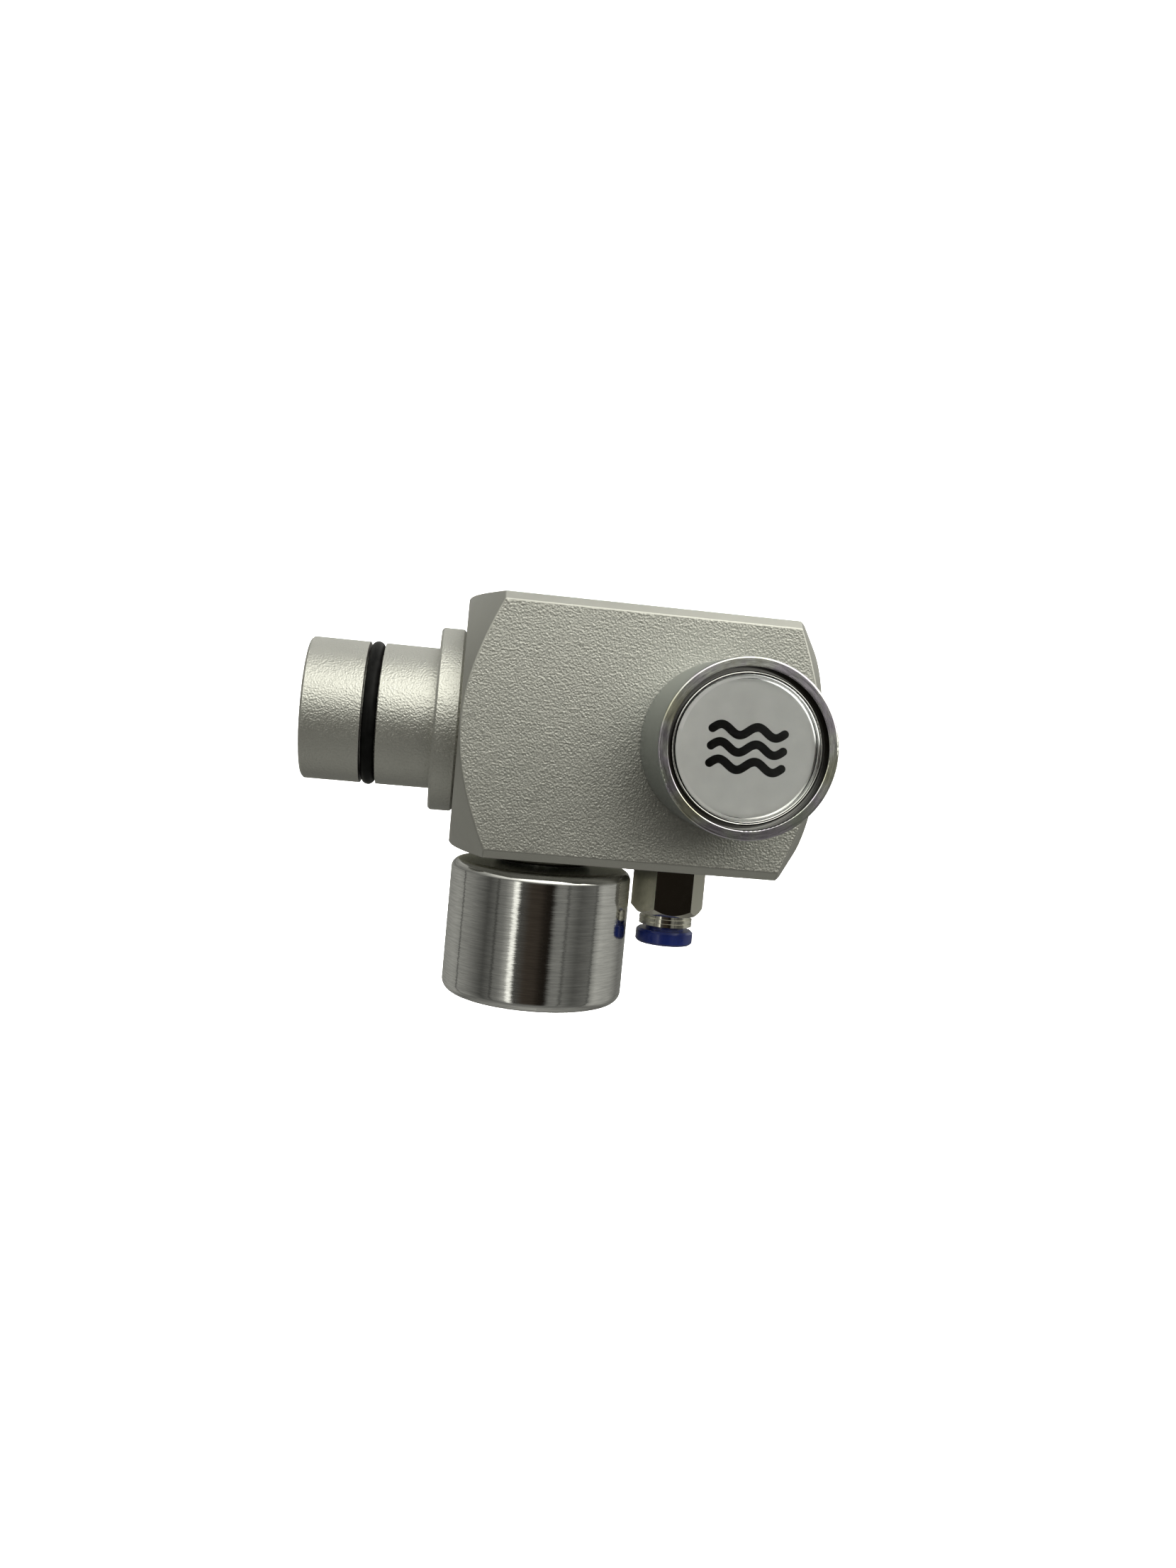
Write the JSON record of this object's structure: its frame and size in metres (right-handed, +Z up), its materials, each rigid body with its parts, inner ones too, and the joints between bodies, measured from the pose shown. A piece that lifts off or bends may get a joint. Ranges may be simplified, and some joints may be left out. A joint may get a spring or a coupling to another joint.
{
  "type": "push-button gas valve head",
  "caption": "Square valve head with a plug-in spigot, a push button, a round flow knob and a push-in tube fitting.",
  "frame": {"origin": "on the spigot's axis, in the plane of the flange's outer face", "axes": "-X along the spigot, out of the block; -Y out of the front face, along the push button; +Z up, away from the knob and the tube fitting"},
  "size_m": [0.0894, 0.0629, 0.0722],
  "materials": {
    "blasted_aluminium": "bead-blasted, clear anodised, satin",
    "turned_aluminium": "turned and polished, fine lathe lines",
    "black_aluminium": "black anodised",
    "bezel_chrome": "bright chrome plate",
    "cap_steel": "turned bright stainless steel",
    "label_white": null,
    "clear_lens": "clear polished acrylic",
    "seal_rubber": "black nitrile rubber, lightly greased",
    "brass": "machined brass",
    "sintered_bronze": "sintered bronze, grainy",
    "steel": "bright stainless steel",
    "nickel_plate": "nickel-plated brass",
    "white_ptfe": "natural PTFE",
    "blue_plastic": "moulded blue acetal"
  },
  "bodies": {
    "valve_body": {"valve_block": "blasted_aluminium", "gallery_plug": "steel", "inlet_spigot": "blasted_aluminium", "spigot_o_ring": "seal_rubber", "spigot_face_seal": "seal_rubber", "inlet_filter": "sintered_bronze", "filter_clip": "steel", "button_base": "brass", "button_base_seal": "seal_rubber", "button_bezel": "bezel_chrome", "stem_seal": "seal_rubber", "gland_nut": "brass", "button_spring": "steel", "valve_seat": "brass", "poppet_spring": "steel", "needle_seat": "brass", "bonnet": "black_aluminium", "bonnet_washer": "white_ptfe", "shaft_seal": "seal_rubber", "needle_guide": "brass", "thrust_washer": "white_ptfe", "fitting_body": "nickel_plate", "fitting_washer": "white_ptfe", "tube_seal": "seal_rubber", "tube_grip": "steel", "guide_ring": "nickel_plate"},
    "button": {"button_cap": "cap_steel", "button_label": "label_white", "button_lens": "clear_lens", "valve_stem": "steel", "poppet": "brass", "poppet_pad": "white_ptfe"},
    "knob": {"flow_knob": "turned_aluminium", "knob_set_screw": "steel", "knob_shaft": "steel"},
    "needle": {"flow_needle": "steel"},
    "release": {"release_ring": "blue_plastic"}
  },
  "joints": [
    {"name": "button_press", "type": "slide", "parent": "valve_body", "child": "button", "axis": [0, 1, 0], "range_m": [0, 0.0035], "stiffness_N_per_m": 1700, "springref_m": -0.0035, "deforming": ["button_spring", "poppet_spring"]},
    {"name": "knob_turn", "type": "hinge", "parent": "valve_body", "child": "knob", "pos_m": [0.0221, 0, -0.0225], "axis": [0, 0, -1], "range_deg": [0, 720]},
    {"name": "needle_lift", "type": "slide", "parent": "valve_body", "child": "needle", "axis": [0, 0, -1], "range_m": [0, 0.001]},
    {"name": "release_push", "type": "slide", "parent": "valve_body", "child": "release", "axis": [0, 0, 1], "range_m": [0, 0.0006], "stiffness_N_per_m": 500, "springref_m": -0.001}
  ],
  "couplings": [
    {"joint": "needle_lift", "follows": "knob_turn", "m_per_rad": 0.000079577}
  ]
}
